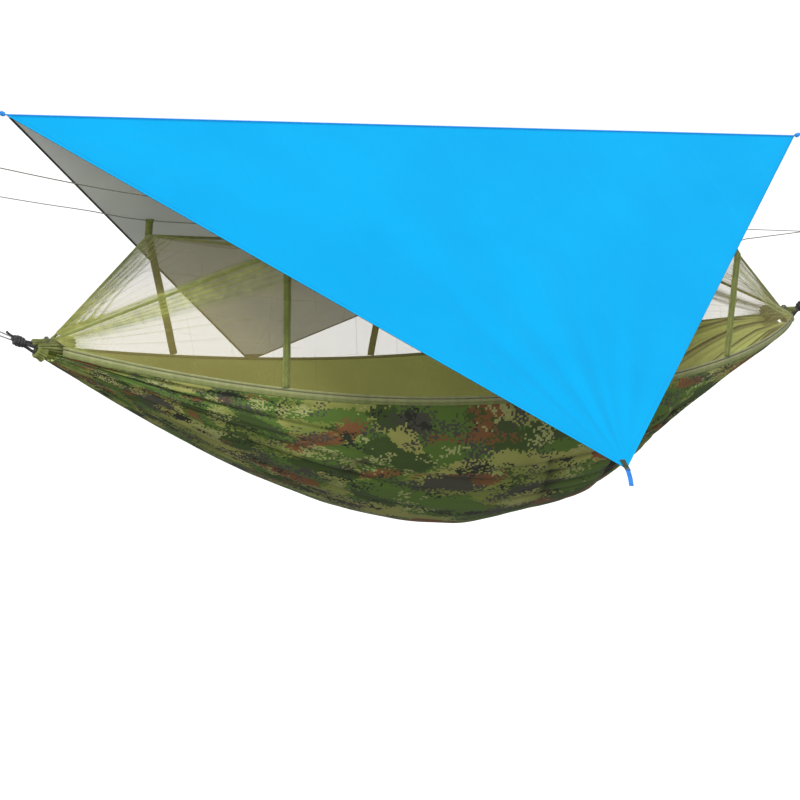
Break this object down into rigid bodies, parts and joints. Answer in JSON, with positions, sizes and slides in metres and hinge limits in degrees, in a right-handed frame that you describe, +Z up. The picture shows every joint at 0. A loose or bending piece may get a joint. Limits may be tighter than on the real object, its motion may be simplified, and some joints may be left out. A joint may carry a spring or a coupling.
{
  "type": "camping hammock",
  "caption": "Gathered-end camouflage hammock with a zipped mosquito net on taut cords and a square diamond-pitched blue tarp over it.",
  "frame": {"origin": "middle of the left carabiner's bow, where the tree strap holds it", "axes": "+X along the hammock to the right carabiner, -Y towards the zipped side, +Z up"},
  "size_m": [3.549, 2.2572, 1.2656],
  "materials": {
    "steel": "satin",
    "grey_cord": "twisted, matte",
    "black_rope": "braided, matte",
    "camo_cloth": "printed ripstop nylon, slight sheen",
    "olive_binding": "woven, matte",
    "zip_tape": "woven, matte",
    "zip_coil": "satin",
    "zip_metal": "polished, slightly worn",
    "net": "sheer knitted mesh, matte",
    "olive_tape": "woven, matte",
    "dark_green_cord": "twisted, matte",
    "tarp": "coated polyester, satin",
    "tarp_tag": "woven, matte",
    "black_webbing": "woven, matte"
  },
  "bodies": {
    "rigging": {"left_carabiner": "steel", "left_gate_pin": "steel", "right_carabiner": "steel", "right_gate_pin": "steel", "near_net_cord": "grey_cord", "far_net_cord": "grey_cord", "near_cord_loops": "grey_cord", "far_cord_loops": "grey_cord", "ridge_seam": "tarp", "left_ridge_tie": "tarp", "right_ridge_tie": "tarp"},
    "bed": {"left_sling_cord": "grey_cord", "right_sling_cord": "grey_cord", "left_sling_knot": "black_rope", "right_sling_knot": "black_rope", "left_end_rope": "black_rope", "right_end_rope": "black_rope", "left_gather": "camo_cloth", "right_gather": "camo_cloth", "bed": "camo_cloth", "near_rim_hem": "olive_binding", "far_rim_hem": "olive_binding", "zip_tape": "zip_tape", "zip_coil": "zip_coil", "near_net": "net", "far_net": "net", "top_net": "net", "left_net": "net", "right_net": "net", "left_net_tie": "dark_green_cord", "right_net_tie": "dark_green_cord", "near_left_tape": "olive_tape", "near_middle_tape": "olive_tape", "near_right_tape": "olive_tape", "far_left_tape": "olive_tape", "far_middle_tape": "olive_tape", "far_right_tape": "olive_tape"},
    "near_wing": {"near_wing": "tarp", "near_wing_hem": "tarp", "near_tip_webbing": "olive_binding", "near_tip_tag": "tarp_tag"},
    "far_wing": {"far_wing": "tarp", "far_wing_hem": "black_webbing", "far_tip_patch": "black_webbing", "far_tip_loop": "black_webbing"},
    "left_gate": {"left_gate": "steel", "left_gate_spring": "steel"},
    "right_gate": {"right_gate": "steel", "right_gate_spring": "steel"},
    "zip_slider": {"zip_slider": "zip_metal"},
    "zip_pull": {"zip_pull": "zip_metal"}
  },
  "joints": [
    {"name": "bed_swing", "type": "hinge", "parent": "rigging", "child": "bed", "pos_m": [0.05508, 0, -0.02114], "axis": [0.9994, 0, 0.0343], "range_deg": [-12, 12], "deforming": ["near_net", "far_net", "top_net", "left_net", "right_net", "near_left_tape", "near_middle_tape", "near_right_tape", "far_left_tape", "far_middle_tape", "far_right_tape"]},
    {"name": "near_wing_lift", "type": "hinge", "parent": "rigging", "child": "near_wing", "pos_m": [1.584, 0, 0.55], "axis": [-1, 0, 0], "range_deg": [0, 55]},
    {"name": "far_wing_lift", "type": "hinge", "parent": "rigging", "child": "far_wing", "pos_m": [1.584, 0, 0.55], "axis": [1, 0, 0], "range_deg": [0, 55]},
    {"name": "left_gate_open", "type": "hinge", "parent": "rigging", "child": "left_gate", "pos_m": [0.04157, 0, 0.00225], "axis": [0, -1, 0], "range_deg": [0, 22], "stiffness_Nm_per_rad": 0.12, "springref_deg": -20.05},
    {"name": "right_gate_open", "type": "hinge", "parent": "rigging", "child": "right_gate", "pos_m": [3.24882, 0, 0.11392], "axis": [0, 1, 0], "range_deg": [0, 22], "stiffness_Nm_per_rad": 0.12, "springref_deg": -20.05},
    {"name": "zip_slide", "type": "slide", "parent": "bed", "child": "zip_slider", "axis": [0.9938, 0.0579, 0.0951], "range_m": [0, 0.12]},
    {"name": "pull_swing", "type": "hinge", "parent": "zip_slider", "child": "zip_pull", "pos_m": [2.00025, -0.39115, -0.21205], "axis": [-0.9938, -0.0582, -0.0949], "range_deg": [0, 80]}
  ]
}
